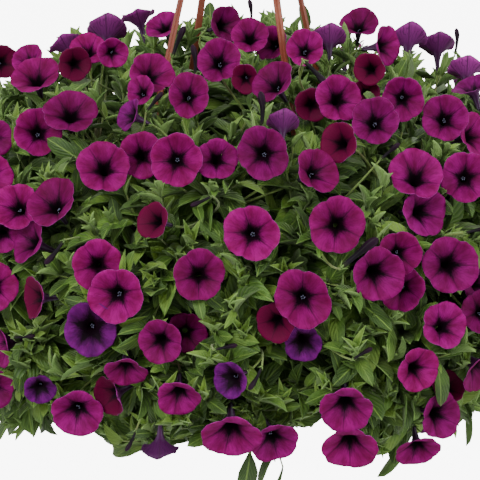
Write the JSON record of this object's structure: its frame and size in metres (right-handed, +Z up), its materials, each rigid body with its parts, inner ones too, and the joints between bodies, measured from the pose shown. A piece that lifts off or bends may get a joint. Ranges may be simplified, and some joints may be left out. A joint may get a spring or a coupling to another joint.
{
  "type": "petunia hanging basket",
  "caption": "Hanging plastic pot on ribbed straps with a hook, filled with potting mix and overgrown by one wide ball of flowering and leafy petunia stems.",
  "frame": {"origin": "middle of the flat seat inside the hook's crown, where the basket hangs on its bracket", "axes": "+Z up along the hanger, -Y towards the front of the picture, +X to its right"},
  "size_m": [0.659, 0.679, 0.7797],
  "materials": {
    "terracotta_plastic": "satin moulded plastic",
    "potting_mix": "loose and matte",
    "bloom": "matte petals with dark throats",
    "leaf": "matte, softly haired"
  },
  "bodies": {
    "root": {"pot": "terracotta_plastic", "soil": "potting_mix", "hanger_hook": "terracotta_plastic", "hanger_leg_1": "terracotta_plastic", "hanger_leg_2": "terracotta_plastic", "hanger_leg_3": "terracotta_plastic", "hanger_leg_4": "terracotta_plastic", "flower_stem_1": "bloom", "flower_stem_2": "bloom", "flower_stem_3": "bloom", "flower_stem_4": "bloom", "flower_stem_5": "bloom", "flower_stem_6": "bloom", "flower_stem_7": "bloom", "flower_stem_8": "bloom", "flower_stem_9": "bloom", "flower_stem_10": "bloom", "flower_stem_11": "bloom", "flower_stem_12": "bloom", "flower_stem_13": "bloom", "flower_stem_14": "bloom", "flower_stem_15": "bloom", "flower_stem_16": "bloom", "flower_stem_17": "bloom", "flower_stem_18": "bloom", "flower_stem_19": "bloom", "flower_stem_20": "bloom", "flower_stem_21": "bloom", "flower_stem_22": "bloom", "flower_stem_23": "bloom", "flower_stem_24": "bloom", "flower_stem_25": "bloom", "flower_stem_26": "bloom", "flower_stem_27": "bloom", "flower_stem_28": "bloom", "leafy_stem_1": "leaf", "leafy_stem_2": "leaf", "leafy_stem_3": "leaf", "leafy_stem_4": "leaf", "leafy_stem_5": "leaf", "leafy_stem_6": "leaf", "leafy_stem_7": "leaf", "leafy_stem_8": "leaf", "leafy_stem_9": "leaf", "leafy_stem_10": "leaf", "leafy_stem_11": "leaf", "leafy_stem_12": "leaf", "leafy_stem_13": "leaf", "leafy_stem_14": "leaf", "leafy_stem_15": "leaf", "leafy_stem_16": "leaf", "leafy_stem_17": "leaf", "leafy_stem_18": "leaf", "leafy_stem_19": "leaf", "leafy_stem_20": "leaf", "leafy_stem_21": "leaf", "leafy_stem_22": "leaf", "leafy_stem_23": "leaf", "leafy_stem_24": "leaf"}
  },
  "joints": []
}
